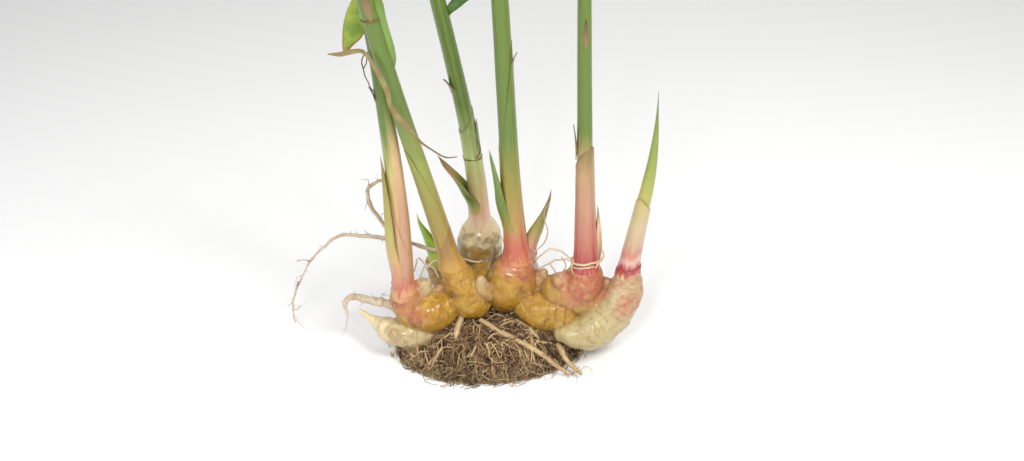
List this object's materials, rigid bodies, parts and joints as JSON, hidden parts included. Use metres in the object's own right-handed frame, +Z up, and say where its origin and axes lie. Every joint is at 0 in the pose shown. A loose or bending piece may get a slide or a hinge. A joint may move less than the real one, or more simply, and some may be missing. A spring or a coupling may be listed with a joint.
{
  "type": "ginger root",
  "caption": "Freshly lifted ginger clump: a knobbly golden rhizome on its root mat, with upright leaf stalks, a pale young shoot, sheaths and dried leaf scraps.",
  "frame": {"origin": "middle of the flat underside of the root mat, on the surface that the clump stands on", "axes": "+Z up along the stalks, the longest extent; +X along the row of lobes, towards the pale young shoot; +Y away from the viewer"},
  "size_m": [0.2162, 0.0908, 0.2562],
  "materials": {
    "rhizome_skin": "thin golden skin with tan rings and pink blushes, softly glossy",
    "stalk_green": "smooth leaf sheath, green above and tan to pink at the foot, semi-gloss",
    "shoot_pale": "pale cream young sheath with a green tip and a crimson foot, semi-gloss",
    "leaf_green": "thin leaf blade, satin, browned at the tip",
    "dry_leaf": "dried brown sheath fibre, matte",
    "root_fibre": "dry tan and brown root fibre, matte",
    "root_pale": "fleshy cream root, satin"
  },
  "bodies": {
    "root": {"rhizome": "rhizome_skin", "stalk_left": "stalk_green", "stalk_inner_left": "stalk_green", "stalk_back": "stalk_green", "stalk_middle": "stalk_green", "stalk_right": "stalk_green", "young_shoot_right": "shoot_pale", "leafy_shoot": "shoot_pale", "green_shoot": "stalk_green", "right_side_shoot": "shoot_pale", "middle_side_sheath": "stalk_green", "back_side_sheath": "stalk_green", "left_outer_sheath": "stalk_green", "leaf_sheath": "stalk_green", "drooping_leaf": "leaf_green", "back_leaf": "leaf_green", "dried_strip": "dry_leaf", "root_stub": "root_pale", "long_root": "root_fibre", "loop_root": "root_fibre", "thick_root": "root_fibre", "white_root": "root_pale", "tan_root": "root_fibre", "short_root": "root_fibre", "root_mat": "root_fibre"}
  },
  "joints": []
}
